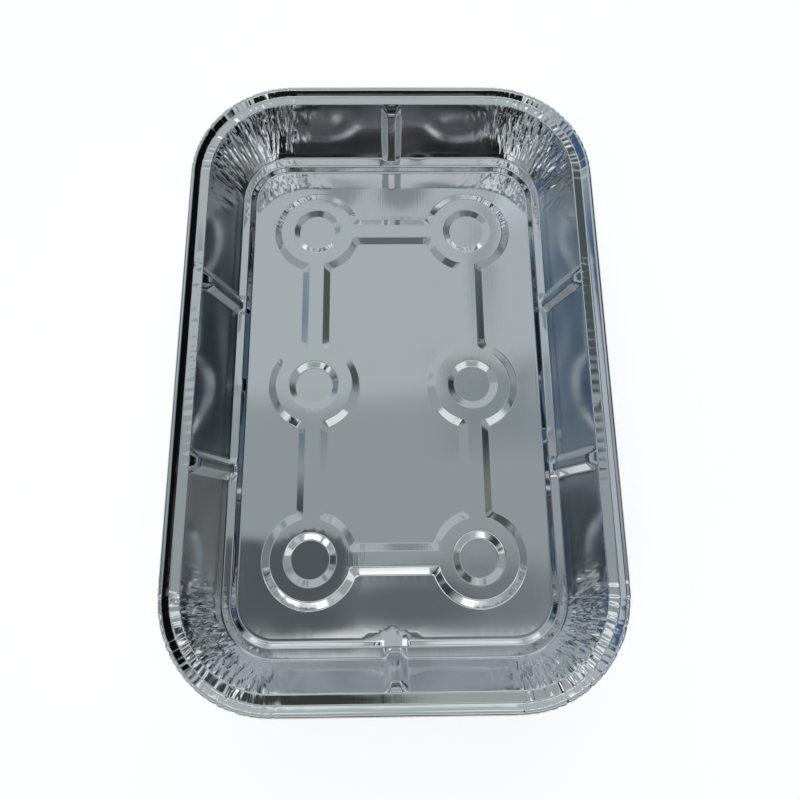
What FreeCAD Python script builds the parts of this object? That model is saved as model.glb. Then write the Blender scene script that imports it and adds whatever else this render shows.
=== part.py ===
"""Rectangular aluminium foil tray, pressed from one sheet, with a rolled rim.

Millimetres, +Z up. The origin is the centre of the underside, where the tray stands.
X runs across the tray and Y along it. The sheet has two skins, the upper one that the food
touches and the lower one, which follow the same rings one foil thickness apart. Each ring
is a rounded rectangle at its own height. In the corners every other point of a ring is
pressed in, which gives the pleats. They open from the foot of the wall, and close again
across the flange, outside which the step and the rolled edge are lightly crimped.
"""
import FreeCAD, Part
import math
import os
from collections import namedtuple

Vector = FreeCAD.Vector

# Overall size over the rolled edge, and the height of the flat flange above the ground
tray_length = 321.0
tray_width = 215.0
flange_height = 41.1

# The sheet. Real foil is about 0.1 thick: it is drawn thicker so that the shell stays sound
foil = 0.3

# Rim: flat flange, sloped step up, then the edge rolled outwards and down
rim_width = 9.7
flange_width = 5.1
roll_radius = 1.25
roll_lift = 1.2
roll_end_angle = -120.0
roll_over_count = 3
roll_under_count = 2
rim_corner_radius = 53.0

# Walls: how far each leans outwards from its foot to the flange
side_wall_run = 9.0
end_wall_run = 7.4
foot_corner_radius = 28.5

# Ledge at the foot of the walls and the step down to the floor
ledge_height = 3.7
side_ledge_width = 4.5
end_ledge_width = 5.9
ledge_corner_radius = 22.5
side_step_run = 2.2
end_step_run = 2.0
floor_corner_radius = 20.0

# Pleats in each corner, with a few more that fade out along the straight walls beside it
pleat_count = 20
extra_pleat_count = 2
pleat_spread = 12.0
pleat_depth = 1.0
pleat_unevenness = 0.35
crimp_depth = 0.3

# Ribs pressed inwards in the walls: two on each side, one on each end
rib_width = 11.6
rib_face_width = 4.2
rib_depth = 2.6
rib_cap_height = 5.0
side_rib_spacing = 94.8

# Raised pads and bars on the floor
pad_height = 1.3
pad_slope_run = 4.3
pad_radius = 25.5
dimple_radius = 14.0
dimple_floor_radius = 10.2
bar_width = 16.4
pad_column_spacing = 89.0
pad_row_spacing = 94.9
pad_row_count = 3

# Worked-out values
half_width = tray_width / 2
half_length = tray_length / 2
wall_rise = flange_height - ledge_height
wall_top_radius = rim_corner_radius - rim_width
flat_enough = 1e-6

Ring = namedtuple("Ring", "half_x half_y radius z press_out press_up")


def section(wall_run, ledge_width, step_run, half):
    """Upper skin of one wall as (distance from the middle, height), from the floor out to the roll."""
    wall_top = half - rim_width
    foot = wall_top - wall_run
    ledge_edge = foot - ledge_width
    floor_edge = ledge_edge - step_run
    flange_edge = wall_top + flange_width
    points = [(floor_edge, foil), (ledge_edge, ledge_height), (foot, ledge_height)]
    points += [(wall_top, flange_height), (flange_edge, flange_height)]
    centre_x = half - roll_radius
    centre_z = flange_height + roll_lift
    reach = math.hypot(centre_x - flange_edge, roll_lift)
    rise = math.atan2(roll_lift, centre_x - flange_edge) + math.asin(roll_radius / reach)
    start = rise + math.pi / 2
    finish = math.radians(roll_end_angle)
    angles = [start * (1 - k / roll_over_count) for k in range(roll_over_count)]
    angles += [finish * k / roll_under_count for k in range(roll_under_count + 1)]
    for angle in angles:
        points.append((centre_x + roll_radius * math.cos(angle), centre_z + roll_radius * math.sin(angle)))
    return points


def normals(points):
    """Mitred normals of a section, pointing to the lower skin, scaled for a sheet of thickness 1."""
    sides = [(0.0, -1.0)]
    for a, b in zip(points, points[1:]):
        length = math.hypot(b[0] - a[0], b[1] - a[1])
        sides.append(((b[1] - a[1]) / length, -(b[0] - a[0]) / length))
    sides.append(sides[-1])
    result = []
    for before, after in zip(sides, sides[1:]):
        total = (before[0] + after[0], before[1] + after[1])
        scale = 2 / (total[0] ** 2 + total[1] ** 2)
        result.append((total[0] * scale, total[1] * scale))
    return result


def rings(depth):
    """The rings of the skin `depth` below the upper one, from the floor's edge to the roll's end."""
    side = section(side_wall_run, side_ledge_width, side_step_run, half_width)
    end = section(end_wall_run, end_ledge_width, end_step_run, half_length)
    rim = side[4:]
    radii = [floor_corner_radius, ledge_corner_radius, foot_corner_radius, wall_top_radius]
    radii += [rim_corner_radius - half_width + x for x, z in rim]
    presses = [0, 0, 0, pleat_depth] + [crimp_depth] * len(rim)
    result = []
    for here, there, normal, other, radius, press in zip(side, end, normals(side), normals(end), radii, presses):
        shift_x = depth * normal[0]
        shift_y = depth * other[0]
        length = math.hypot(*normal)
        ring = Ring(here[0] + shift_x, there[0] + shift_y, radius + (shift_x + shift_y) / 2,
                    here[1] + depth * normal[1], press * normal[0] / length, press * normal[1] / length)
        result.append(ring)
    return result


def smooth_wire(ring):
    """A ring with true straight edges and quarter-circle corners."""
    inner_x = ring.half_x - ring.radius
    inner_y = ring.half_y - ring.radius
    arcs = []
    for quarter, (sign_x, sign_y) in enumerate(((1, 1), (-1, 1), (-1, -1), (1, -1))):
        centre = Vector(sign_x * inner_x, sign_y * inner_y, ring.z)
        angles = [math.radians(90 * quarter + turn) for turn in (0, 45, 90)]
        spokes = [Vector(math.cos(angle), math.sin(angle), 0) * ring.radius for angle in angles]
        arcs.append(Part.Arc(*[centre + spoke for spoke in spokes]).toShape())
    edges = []
    for arc, after in zip(arcs, arcs[1:] + arcs[:1]):
        edges.append(arc)
        edges.append(Part.LineSegment(arc.Vertexes[-1].Point, after.Vertexes[0].Point).toShape())
    return Part.Wire(edges)


def press_factor(index, fade):
    """How far corner point `index` is pressed, from 0 to 1: every other one, and unevenly."""
    if index % 2 == 0:
        return 0
    return fade * (1 - pleat_unevenness * (0.5 + 0.5 * math.sin(2.4 * index)))


def corner_spots(ring, past, across):
    """Points of one corner as (x, y, outward x, outward y, fade), from the side wall to the end wall.

    `past` is how many points lie on each straight wall beside it, and `across` how many
    steps the quarter circle is cut into.
    """
    inner_x = ring.half_x - ring.radius
    inner_y = ring.half_y - ring.radius
    gaps = [pleat_spread * k / past for k in range(1, past + 1)]
    fades = [1 - k / (past + 1) for k in range(1, past + 1)]
    spots = [(ring.half_x, inner_y - gap, 1, 0, fade) for gap, fade in zip(gaps, fades)][::-1]
    for k in range(across + 1):
        angle = math.pi / 2 * k / across
        out_x = math.cos(angle)
        out_y = math.sin(angle)
        spots.append((inner_x + ring.radius * out_x, inner_y + ring.radius * out_y, out_x, out_y, 1))
    spots += [(inner_x - gap, ring.half_y, 0, 1, fade) for gap, fade in zip(gaps, fades)]
    return spots


def corners(ring, past, across):
    """The pressed points of all four corners, each a list, anticlockwise from the +X, +Y one."""
    first = []
    for index, (x, y, out_x, out_y, fade) in enumerate(corner_spots(ring, past, across)):
        factor = press_factor(index, fade)
        move = factor * ring.press_out
        first.append(Vector(x + move * out_x, y + move * out_y, ring.z + factor * ring.press_up))
    second = [Vector(-p.x, p.y, p.z) for p in reversed(first)]
    third = [Vector(-p.x, -p.y, p.z) for p in first]
    fourth = [Vector(p.x, -p.y, p.z) for p in reversed(first)]
    return [first, second, third, fourth]


def fine(ring):
    """Corners with a point at each fold of each pleat."""
    return corners(ring, 2 * extra_pleat_count, 2 * pleat_count)


def coarse(ring):
    """Corners with a point at each pleat's open edge only."""
    return corners(ring, extra_pleat_count, pleat_count)


def outline(ring_corners):
    """All the points of a ring in one list."""
    return [point for corner in ring_corners for point in corner]


def flat_face(points):
    """A flat face with straight edges."""
    return Part.Face(Part.makePolygon(points + points[:1]))


def band(low, high):
    """Flat faces between two rings of as many points, each split where it has a crease."""
    low = outline(low)
    high = outline(high)
    faces = []
    for i in range(len(low)):
        a, b, c, d = low[i - 1], low[i], high[i], high[i - 1]
        across = (b - a).cross(c - a).normalize()
        if abs(across.dot(d - a)) < flat_enough:
            faces.append(flat_face([a, b, c, d]))
        else:
            faces += [flat_face([a, b, c]), flat_face([a, c, d])]
    return faces


def closing_band(inner, outer):
    """The flange: each pleat of the inner ring closes to a point on the outer ring."""
    faces = []
    for i in range(len(inner)):
        near = inner[i]
        far = outer[i]
        for k in range(len(far) - 1):
            peak, valley, after = near[2 * k:2 * k + 3]
            faces += [flat_face([peak, valley, far[k]]), flat_face([valley, far[k + 1], far[k]])]
            faces.append(flat_face([valley, after, far[k + 1]]))
        faces.append(flat_face([inner[i - 1][-1], near[0], far[0], outer[i - 1][-1]]))
    return faces


def skin(depth):
    """Faces of one skin from the floor's edge to the end of the roll."""
    floor_edge, ledge_edge, foot, wall_top, *rim = rings(depth)
    ledge_wire = smooth_wire(ledge_edge)
    foot_points = outline(fine(foot))
    foot_wire = Part.makePolygon(foot_points + foot_points[:1])
    faces = list(Part.makeRuledSurface(smooth_wire(floor_edge), ledge_wire).Faces)
    faces += Part.makeFace([foot_wire, ledge_wire], "Part::FaceMakerBullseye").Faces
    faces += band(fine(foot), fine(wall_top))
    faces += closing_band(fine(wall_top), coarse(rim[0]))
    for low, high in zip(rim, rim[1:]):
        faces += band(coarse(low), coarse(high))
    return faces


def walls():
    """Everything round the floor as one closed solid: step, ledge, walls, flange and rolled edge."""
    upper = rings(0)
    lower = rings(foil)
    faces = skin(0) + skin(foil)
    faces += Part.makeRuledSurface(smooth_wire(lower[0]), smooth_wire(upper[0])).Faces
    faces += band(coarse(upper[-1]), coarse(lower[-1]))
    shape = Part.makeCompound(faces)
    shape.sewShape()
    solid = Part.Solid(shape.Shells[0])
    if solid.Volume < 0:
        solid.reverse()
    return solid


def bar(start, finish):
    """A raised bar with sloped sides from one pad's centre to another's."""
    along = finish - start
    across = Vector(-along.y, along.x, 0).normalize()
    low = bar_width / 2
    high = low - pad_slope_run
    profile = [(-low, 0), (-high, pad_height), (high, pad_height), (low, 0)]
    points = [start + across * a + Vector(0, 0, z) for a, z in profile]
    return flat_face(points).extrude(along)


def relief():
    """The raised pads and bars as a solid standing on the ground: two columns joined at their ends."""
    columns = [-pad_column_spacing / 2, pad_column_spacing / 2]
    rows = [pad_row_spacing * (row - (pad_row_count - 1) / 2) for row in range(pad_row_count)]
    pads = []
    dimples = []
    bars = [bar(Vector(columns[0], y, 0), Vector(columns[1], y, 0)) for y in (rows[0], rows[-1])]
    for x in columns:
        for y in rows:
            centre = Vector(x, y, 0)
            pads.append(Part.makeCone(pad_radius, pad_radius - pad_slope_run, pad_height, centre))
            dimples.append(Part.makeCone(dimple_floor_radius, dimple_radius, pad_height, centre))
        bars += [bar(Vector(x, near, 0), Vector(x, far, 0)) for near, far in zip(rows, rows[1:])]
    return pads[0].multiFuse(pads[1:] + bars).cut(dimples).removeSplitter()


def floor():
    """The embossed floor: a sheet of even thickness, raised at the pads and bars."""
    edge_low = smooth_wire(rings(foil)[0])
    edge_high = smooth_wire(rings(0)[0])
    sheet = Part.makeLoft([edge_low, edge_high], True, True)
    raised = relief()
    return sheet.fuse(raised.translated(Vector(0, 0, foil))).cut(raised).removeSplitter()


def rib(foot_spot, out, wall_run):
    """One rib as a solid on a wall's upper skin, with sloped flanks and a sloped cap.

    `foot_spot` is the middle of its foot on the wall and `out` the wall's outward direction.
    """
    along = Vector(-out.y, out.x, 0)
    up = Vector(0, 0, wall_rise)
    lean = out * wall_run + up
    shoulder = lean * (1 - rib_cap_height / wall_rise)
    half_foot = rib_width / 2
    half_face = rib_face_width / 2
    plan = [(-half_foot, 0), (-half_face, rib_depth), (half_face, rib_depth), (half_foot, 0)]
    flanks = flat_face([foot_spot + along * a - out * d for a, d in plan]).extrude(lean)
    start = foot_spot - along * half_foot
    inwards = out * -rib_depth
    side = [start, start + inwards, start + inwards + shoulder, start + lean]
    return flanks.common(flat_face(side).extrude(along * rib_width))


def ribs(depth):
    """All six ribs on the skin `depth` below the upper one."""
    foot = rings(depth)[2]
    spots = []
    for sign in (-1, 1):
        for place in (-side_rib_spacing / 2, side_rib_spacing / 2):
            spots.append((Vector(sign * foot.half_x, place, foot.z), Vector(sign, 0, 0), side_wall_run))
        spots.append((Vector(0, sign * foot.half_y, foot.z), Vector(0, sign, 0), end_wall_run))
    return [rib(*spot) for spot in spots]


def main():
    """Build the tray and write it."""
    tray = walls().multiFuse([floor()] + ribs(0)).cut(ribs(foil))
    solid = tray.Solids[0]
    print("solids", len(tray.Solids), "sound", solid.isValid(), "faces", len(solid.Faces))
    print("volume", round(solid.Volume, 1), "box", solid.BoundBox)
    os.makedirs("parts", exist_ok=True)
    solid.exportStep("parts/foil_tray.step")


main()
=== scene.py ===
"""Looks of a catering-size aluminium foil tray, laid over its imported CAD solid.

The tray is pressed from one sheet of foil, so it is one piece here too: floor with six round pads
joined by flat bars, a low ledge, steep walls with stiffening ribs, a flange and a rolled edge.
The pleats that the press leaves in the corners are made by a Geometry Nodes tree.
Lengths are in millimetres up to the point where a mesh is made.
"""

import logging
import math
from dataclasses import dataclass, field
from enum import Enum

import bpy
import numpy as np
from mathutils import Euler, Matrix, Vector
from mathutils.geometry import delaunay_2d_cdt

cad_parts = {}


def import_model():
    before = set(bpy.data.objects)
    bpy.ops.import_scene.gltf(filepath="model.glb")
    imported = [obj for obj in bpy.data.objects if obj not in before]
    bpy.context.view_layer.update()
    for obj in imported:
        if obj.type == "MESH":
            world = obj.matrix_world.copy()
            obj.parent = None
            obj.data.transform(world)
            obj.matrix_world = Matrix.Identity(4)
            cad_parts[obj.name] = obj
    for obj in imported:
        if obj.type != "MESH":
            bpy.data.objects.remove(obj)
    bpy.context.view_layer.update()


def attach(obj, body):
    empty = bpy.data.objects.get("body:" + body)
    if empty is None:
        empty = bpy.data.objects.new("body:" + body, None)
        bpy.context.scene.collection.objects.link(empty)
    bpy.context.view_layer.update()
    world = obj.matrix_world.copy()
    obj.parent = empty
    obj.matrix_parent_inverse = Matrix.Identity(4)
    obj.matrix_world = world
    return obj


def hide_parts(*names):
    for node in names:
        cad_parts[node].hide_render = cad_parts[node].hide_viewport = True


MM = 0.001
# What the press reads from the sheet: place across the pleats in metres, a share for each kind of fold, and the way
# in which each point is pushed.
PRESS_SHARES = ("around", "pleat_share", "crimp_share", "scallop_share", "crumple_share")
PRESS_WAY = "press_way"
# The floor's triangulation keeps what lies inside the walls' first row. It merges points closer than this, in mm.
KEEP_INSIDE = 1
MERGE_DISTANCE = 1e-7
log = logging.getLogger("foil_tray")


def linear(colour: str, alpha: float = 1.0) -> tuple[float, float, float, float]:
    """Turns an sRGB hex colour to the linear values that a shader's socket takes.

    Args:
        colour: Six hex digits with or without a leading hash.
        alpha: Fourth value.

    Returns:
        Red, green, blue and alpha.
    """
    digits = colour.lstrip("#")
    shares = [int(digits[k : k + 2], 16) / 255 for k in (0, 2, 4)]
    values = [s / 12.92 if s <= 0.04045 else ((s + 0.055) / 1.055) ** 2.4 for s in shares]
    return (values[0], values[1], values[2], alpha)


def add_node(tree: bpy.types.NodeTree, kind: str, links: dict | None = None, **settings: object) -> bpy.types.Node:
    """Adds one node with its settings, fixed values and links.

    Args:
        tree: Tree that gets the node.
        kind: Blender's name of the node type.
        links: Input name or number, to a value or to the output socket that feeds it.
        **settings: Properties of the node.

    Returns:
        The new node.
    """
    node = tree.nodes.new(kind)
    for name, value in settings.items():
        setattr(node, name, value)
    for key, value in (links or {}).items():
        if isinstance(value, bpy.types.NodeSocket):
            tree.links.new(value, node.inputs[key])
        else:
            node.inputs[key].default_value = value
    return node


def set_out(name: str, data: bpy.types.ID) -> bpy.types.Object:
    """Sets a mesh or a camera out in the scene.

    Args:
        name: Name of its object.
        data: The mesh or the camera.

    Returns:
        The object.
    """
    item = bpy.data.objects.new(name, data)
    bpy.context.scene.collection.objects.link(item)
    return item


def widened(ring: np.ndarray, out: float, rise: float = 0.0) -> np.ndarray:
    """A ring's sizes moved outwards all round and raised."""
    return ring + np.array([out, out, out, rise])


class Side(Enum):
    """The four straight walls, each with its outward direction and the direction along it."""

    RIGHT = ((1.0, 0.0), (0.0, 1.0))
    FAR = ((0.0, 1.0), (-1.0, 0.0))
    LEFT = ((-1.0, 0.0), (0.0, -1.0))
    NEAR = ((0.0, -1.0), (1.0, 0.0))

    @property
    def is_end(self) -> bool:
        """True for the two short walls."""
        return self in (Side.FAR, Side.NEAR)


class Zone(Enum):
    """The parts of the sheet that a row of its grid can belong to.

    Each has how crumpled it is all round, and how much more so in the corners.
    """

    LEDGE = (0.03, 0.0)
    WALL = (0.1, 1.0)
    FLANGE = (0.3, 0.6)
    ROLL = (0.02, 0.35)


@dataclass(frozen=True)
class Ring:
    """One level rounded rectangle of the upper skin."""

    half_width: float
    half_length: float
    corner_radius: float
    height: float

    def values(self) -> np.ndarray:
        """The four sizes as an array."""
        return np.array([self.half_width, self.half_length, self.corner_radius, self.height])


@dataclass
class Section:
    """The sheet's section from the floor's edge up the wall and round the rolled edge."""

    floor_edge: Ring = Ring(82.1, 135.5, 20.0, 0.3)
    ledge_edge: Ring = Ring(84.3, 137.5, 22.5, 3.7)
    wall_foot: Ring = Ring(88.8, 143.4, 28.5, 3.7)
    wall_top: Ring = Ring(97.8, 150.8, 43.3, 41.1)
    flange_edge: Ring = Ring(102.9, 155.9, 48.4, 40.55)
    step_run: float = 1.95
    step_rise: float = 2.46
    roll_run: float = 3.1
    roll_height: float = 42.04
    roll_radius: float = 1.5
    roll_start: float = 140.0
    roll_end: float = -120.0
    roll_rows: int = 10
    wall_rows: int = 10
    bend_reach: float = 0.75
    rim_bend_reach: float = 0.6
    floor_lead: float = 6.0
    floor_row: float = 1.9

    def bend(self, before: np.ndarray, corner: np.ndarray, after: np.ndarray, reach: float) -> list[np.ndarray]:
        """Rounds one bend of the section.

        Args:
            before: Ring before the bend.
            corner: Ring at the bend.
            after: Ring after it.
            reach: How far the rounding goes along each leg.

        Returns:
            Five rings that replace the one at the bend.
        """
        first = corner + (before - corner) * reach / np.hypot(*(before - corner)[[0, 3]])
        last = corner + (after - corner) * reach / np.hypot(*(after - corner)[[0, 3]])
        shares = (0.0, 0.25, 0.5, 0.75, 1.0)
        return [(1 - t) ** 2 * first + 2 * t * (1 - t) * corner + t * t * last for t in shares]

    def rows(self) -> tuple[np.ndarray, list[Zone]]:
        """All rows of the sheet's grid.

        Returns:
            One line of ring sizes a row, and the zone of each row.
        """
        floor = self.floor_edge.values()
        inner = widened(floor, -self.floor_lead)
        ledge = self.ledge_edge.values()
        foot = self.wall_foot.values()
        top = self.wall_top.values()
        edge = self.flange_edge.values()
        step = widened(edge, self.step_run, self.step_rise)
        rows: list[np.ndarray] = []
        zones: list[Zone] = []

        def add(rings: list[np.ndarray], zone: Zone) -> None:
            """Adds rings that lie in one zone."""
            rows.extend(rings)
            zones.extend([zone] * len(rings))

        reach = self.bend_reach
        add([widened(floor, -self.floor_row)], Zone.LEDGE)
        add(self.bend(inner, floor, ledge, reach), Zone.LEDGE)
        add(self.bend(floor, ledge, foot, reach), Zone.LEDGE)
        add(self.bend(ledge, foot, top, reach), Zone.WALL)
        add([foot + (top - foot) * k / (self.wall_rows + 1) for k in range(1, self.wall_rows + 1)], Zone.WALL)
        add(self.bend(foot, top, edge, self.rim_bend_reach), Zone.FLANGE)
        add([top + (edge - top) * 0.5], Zone.FLANGE)
        add(self.bend(top, edge, step, self.rim_bend_reach), Zone.FLANGE)
        for k in range(self.roll_rows + 1):
            turn = math.radians(self.roll_start + (self.roll_end - self.roll_start) * k / self.roll_rows)
            out = self.roll_run + self.roll_radius * math.cos(turn)
            rise = self.roll_height + self.roll_radius * math.sin(turn) - edge[3]
            add([widened(edge, out, rise)], Zone.ROLL)
        return np.array(rows), zones


@dataclass
class Columns:
    """Where the sheet's grid is cut round its edge, starting at the near end of the right wall."""

    corner_steps: int = 106
    side_straight: float = 114.9
    end_straight: float = 60.3
    side_fixed: float = 62.0
    end_fixed: float = 16.0
    side_ribs: tuple[float, ...] = (-47.4, 47.4)
    end_ribs: tuple[float, ...] = (0.0,)
    rib_cuts: tuple[float, ...] = (0.0, 1.5, 2.1, 2.7, 3.9, 5.2, 5.8, 6.4, 8.5)
    wide_step: float = 4.6
    scallop_reach: float = 66.0
    scallop_step: float = 1.5
    fine_step: float = 1.3
    pleat_reach: float = 20.0
    cut_room: float = 0.45

    def stations(self, straight: float, ribs: tuple[float, ...]) -> np.ndarray:
        """Places of the cuts along one straight wall.

        Args:
            straight: Half the wall's straight length.
            ribs: Middles of its ribs.

        Returns:
            Places from one end to the other, without the two ends.
        """
        cuts = {round(r + s * c, 3) for r in ribs for c in self.rib_cuts for s in (-1, 1)}
        near_corner = straight - self.pleat_reach
        spots = list(cuts)
        for k in range(1, int(self.pleat_reach / self.fine_step)):
            spots += [straight - k * self.fine_step, -(straight - k * self.fine_step)]
        spot = -near_corner
        while spot < near_corner:
            scalloped = abs(spot) < self.scallop_reach and straight > self.scallop_reach
            step = self.scallop_step if scalloped else self.wide_step
            if min(abs(spot - c) for c in cuts) > self.cut_room * step:
                spots.append(spot)
            spot += step
        return np.array(sorted(spots))

    def build(self) -> "Grid":
        """Lists every column.

        Returns:
            The columns as arrays.
        """
        side: list[int] = []
        corner: list[int] = []
        along: list[float] = []
        for number, name in enumerate(Side):
            straight = self.end_straight if name.is_end else self.side_straight
            ribs = self.end_ribs if name.is_end else self.side_ribs
            for spot in self.stations(straight, ribs):
                side.append(number)
                corner.append(-1)
                along.append(spot)
            for k in range(self.corner_steps + 1):
                side.append(number)
                corner.append(number)
                along.append(k / self.corner_steps)
        return Grid(self, np.array(side), np.array(corner), np.array(along))


@dataclass
class Grid:
    """The columns as arrays: wall number, corner number or -1, and place along the wall or corner."""

    columns: Columns
    side: np.ndarray
    corner: np.ndarray
    along: np.ndarray

    def places(self, ring: np.ndarray) -> tuple[np.ndarray, np.ndarray]:
        """Lays the columns out on one ring.

        Args:
            ring: Half width, half length, corner radius and height.

        Returns:
            Points in plan and the directions that point outwards there.
        """
        width, length, radius = ring[0], ring[1], ring[2]
        points = np.zeros((len(self.along), 2))
        outward = np.zeros_like(points)
        for number, name in enumerate(Side):
            out, way = np.array(name.value[0]), np.array(name.value[1])
            half = length if name.is_end else width
            straight = (width if name.is_end else length) - radius
            nominal = self.columns.end_straight if name.is_end else self.columns.side_straight
            fixed = self.columns.end_fixed if name.is_end else self.columns.side_fixed
            on_wall = (self.side == number) & (self.corner < 0)
            spot = self.along[on_wall]
            stretched = fixed + (np.abs(spot) - fixed) * (straight - fixed) / (nominal - fixed)
            spot = np.where(np.abs(spot) > fixed, np.sign(spot) * stretched, spot)
            points[on_wall] = out * half + spot[:, None] * way
            outward[on_wall] = out
            on_corner = self.corner == number
            turn = math.radians(90 * number) + np.radians(90) * self.along[on_corner]
            heading = np.stack([np.cos(turn), np.sin(turn)], 1)
            signs = ((1, 1), (-1, 1), (-1, -1), (1, -1))[number]
            centre = np.array([signs[0] * (width - radius), signs[1] * (length - radius)])
            points[on_corner] = centre + radius * heading
            outward[on_corner] = heading
        return points, outward


@dataclass
class PadRelief:
    """The raised pads and bars of the floor, with a dimple in each pad."""

    height: float = 1.3
    slope: float = 4.3
    pad_radius: float = 25.5
    dimple_radius: float = 14.0
    dimple_floor_radius: float = 10.2
    bar_half_width: float = 8.2
    column_place: float = 44.5
    row_place: float = 94.9
    bend: float = 0.4
    pad_points: int = 80
    dimple_points: int = 48
    middle_points: int = 16
    bar_step: float = 2.4

    def centres(self) -> list[tuple[float, float]]:
        """Middles of the six pads."""
        return [(x * self.column_place, y * self.row_place) for x in (-1, 1) for y in (-1, 0, 1)]

    def outside(self, x: np.ndarray, y: np.ndarray) -> np.ndarray:
        """Distance outside the outline of pads and bars, negative inside it."""
        apart = np.full_like(x, 1e9)
        for cx, cy in self.centres():
            apart = np.minimum(apart, np.hypot(x - cx, y - cy) - self.pad_radius)
        reach_y = np.abs(y) <= self.row_place
        reach_x = np.abs(x) <= self.column_place
        on_column = np.abs(np.abs(x) - self.column_place) - self.bar_half_width
        on_row = np.abs(np.abs(y) - self.row_place) - self.bar_half_width
        apart = np.where(reach_y, np.minimum(apart, on_column), apart)
        return np.where(reach_x, np.minimum(apart, on_row), apart)

    def ramp(self, inside: np.ndarray, run: float) -> np.ndarray:
        """A slope from 0 to 1 over run, with both bends rounded."""
        low = np.clip((inside + self.bend) ** 2 / (4 * self.bend), 0, None) * (np.abs(inside) < self.bend)
        low = np.where(inside >= self.bend, inside, low)
        past = inside - run
        high = np.clip((past + self.bend) ** 2 / (4 * self.bend), 0, None) * (np.abs(past) < self.bend)
        high = np.where(past >= self.bend, past, high)
        return (low - high) / run

    def rise(self, x: np.ndarray, y: np.ndarray) -> np.ndarray:
        """Height of the relief above the floor."""
        share = self.ramp(-self.outside(x, y), self.slope)
        for cx, cy in self.centres():
            away = np.hypot(x - cx, y - cy)
            dimple = self.ramp(away - self.dimple_floor_radius, self.dimple_radius - self.dimple_floor_radius)
            share = np.minimum(share, np.where(away < self.dimple_radius + 2, dimple, 1.0))
        return self.height * share

    def on_level(self, x: np.ndarray, y: np.ndarray, level: float) -> np.ndarray:
        """Those of the points that lie at a distance outside the outline."""
        return np.stack([x, y], 1)[np.abs(self.outside(x, y) - level) < 1e-6]

    def guides(self) -> np.ndarray:
        """Points along every bend of the relief, for the floor's triangles to follow."""
        found: list[np.ndarray] = []
        levels = (self.bend, 0.0, -self.bend, self.bend - self.slope, -self.slope, -self.slope - self.bend)
        turn = np.linspace(0, 2 * np.pi, self.pad_points, endpoint=False)
        up = np.arange(-self.row_place, self.row_place, self.bar_step)
        across = np.arange(-self.column_place, self.column_place, self.bar_step)
        for level in levels:
            radius = self.pad_radius + level
            for cx, cy in self.centres():
                found.append(self.on_level(cx + radius * np.cos(turn), cy + radius * np.sin(turn), level))
            half = self.bar_half_width + level
            for sign in (-1, 1):
                for other in (-half, half):
                    found.append(self.on_level(np.full_like(up, sign * self.column_place + other), up, level))
                    found.append(self.on_level(across, np.full_like(across, sign * self.row_place + other), level))
        middle = self.dimple_floor_radius / 2
        radii = [edge + self.bend * k for edge in (self.dimple_radius, self.dimple_floor_radius) for k in (-1, 0, 1)]
        for cx, cy in self.centres():
            for radius in radii + [middle]:
                count = self.middle_points if radius == middle else self.dimple_points
                turn = np.linspace(0, 2 * np.pi, count, endpoint=False)
                found.append(np.stack([cx + radius * np.cos(turn), cy + radius * np.sin(turn)], 1))
        return np.concatenate(found)


@dataclass(frozen=True)
class Rib:
    """One stiffening rib pressed into a wall: which wall, and its middle along it."""

    side: Side
    place: float
    half_width: float = 5.8
    half_face: float = 2.1
    depth: float = 2.6
    cap_height: float = 1.8


@dataclass(frozen=True)
class Dent:
    """A rounded push into the sheet, centred in plan, along a direction."""

    x: float
    y: float
    z: float
    reach: tuple[float, float, float]
    push: tuple[float, float, float]


@dataclass(frozen=True)
class Bow:
    """A panel of a wall that stands bowed between its ribs and corners."""

    side: Side
    start: float
    end: float
    depth: float


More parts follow.
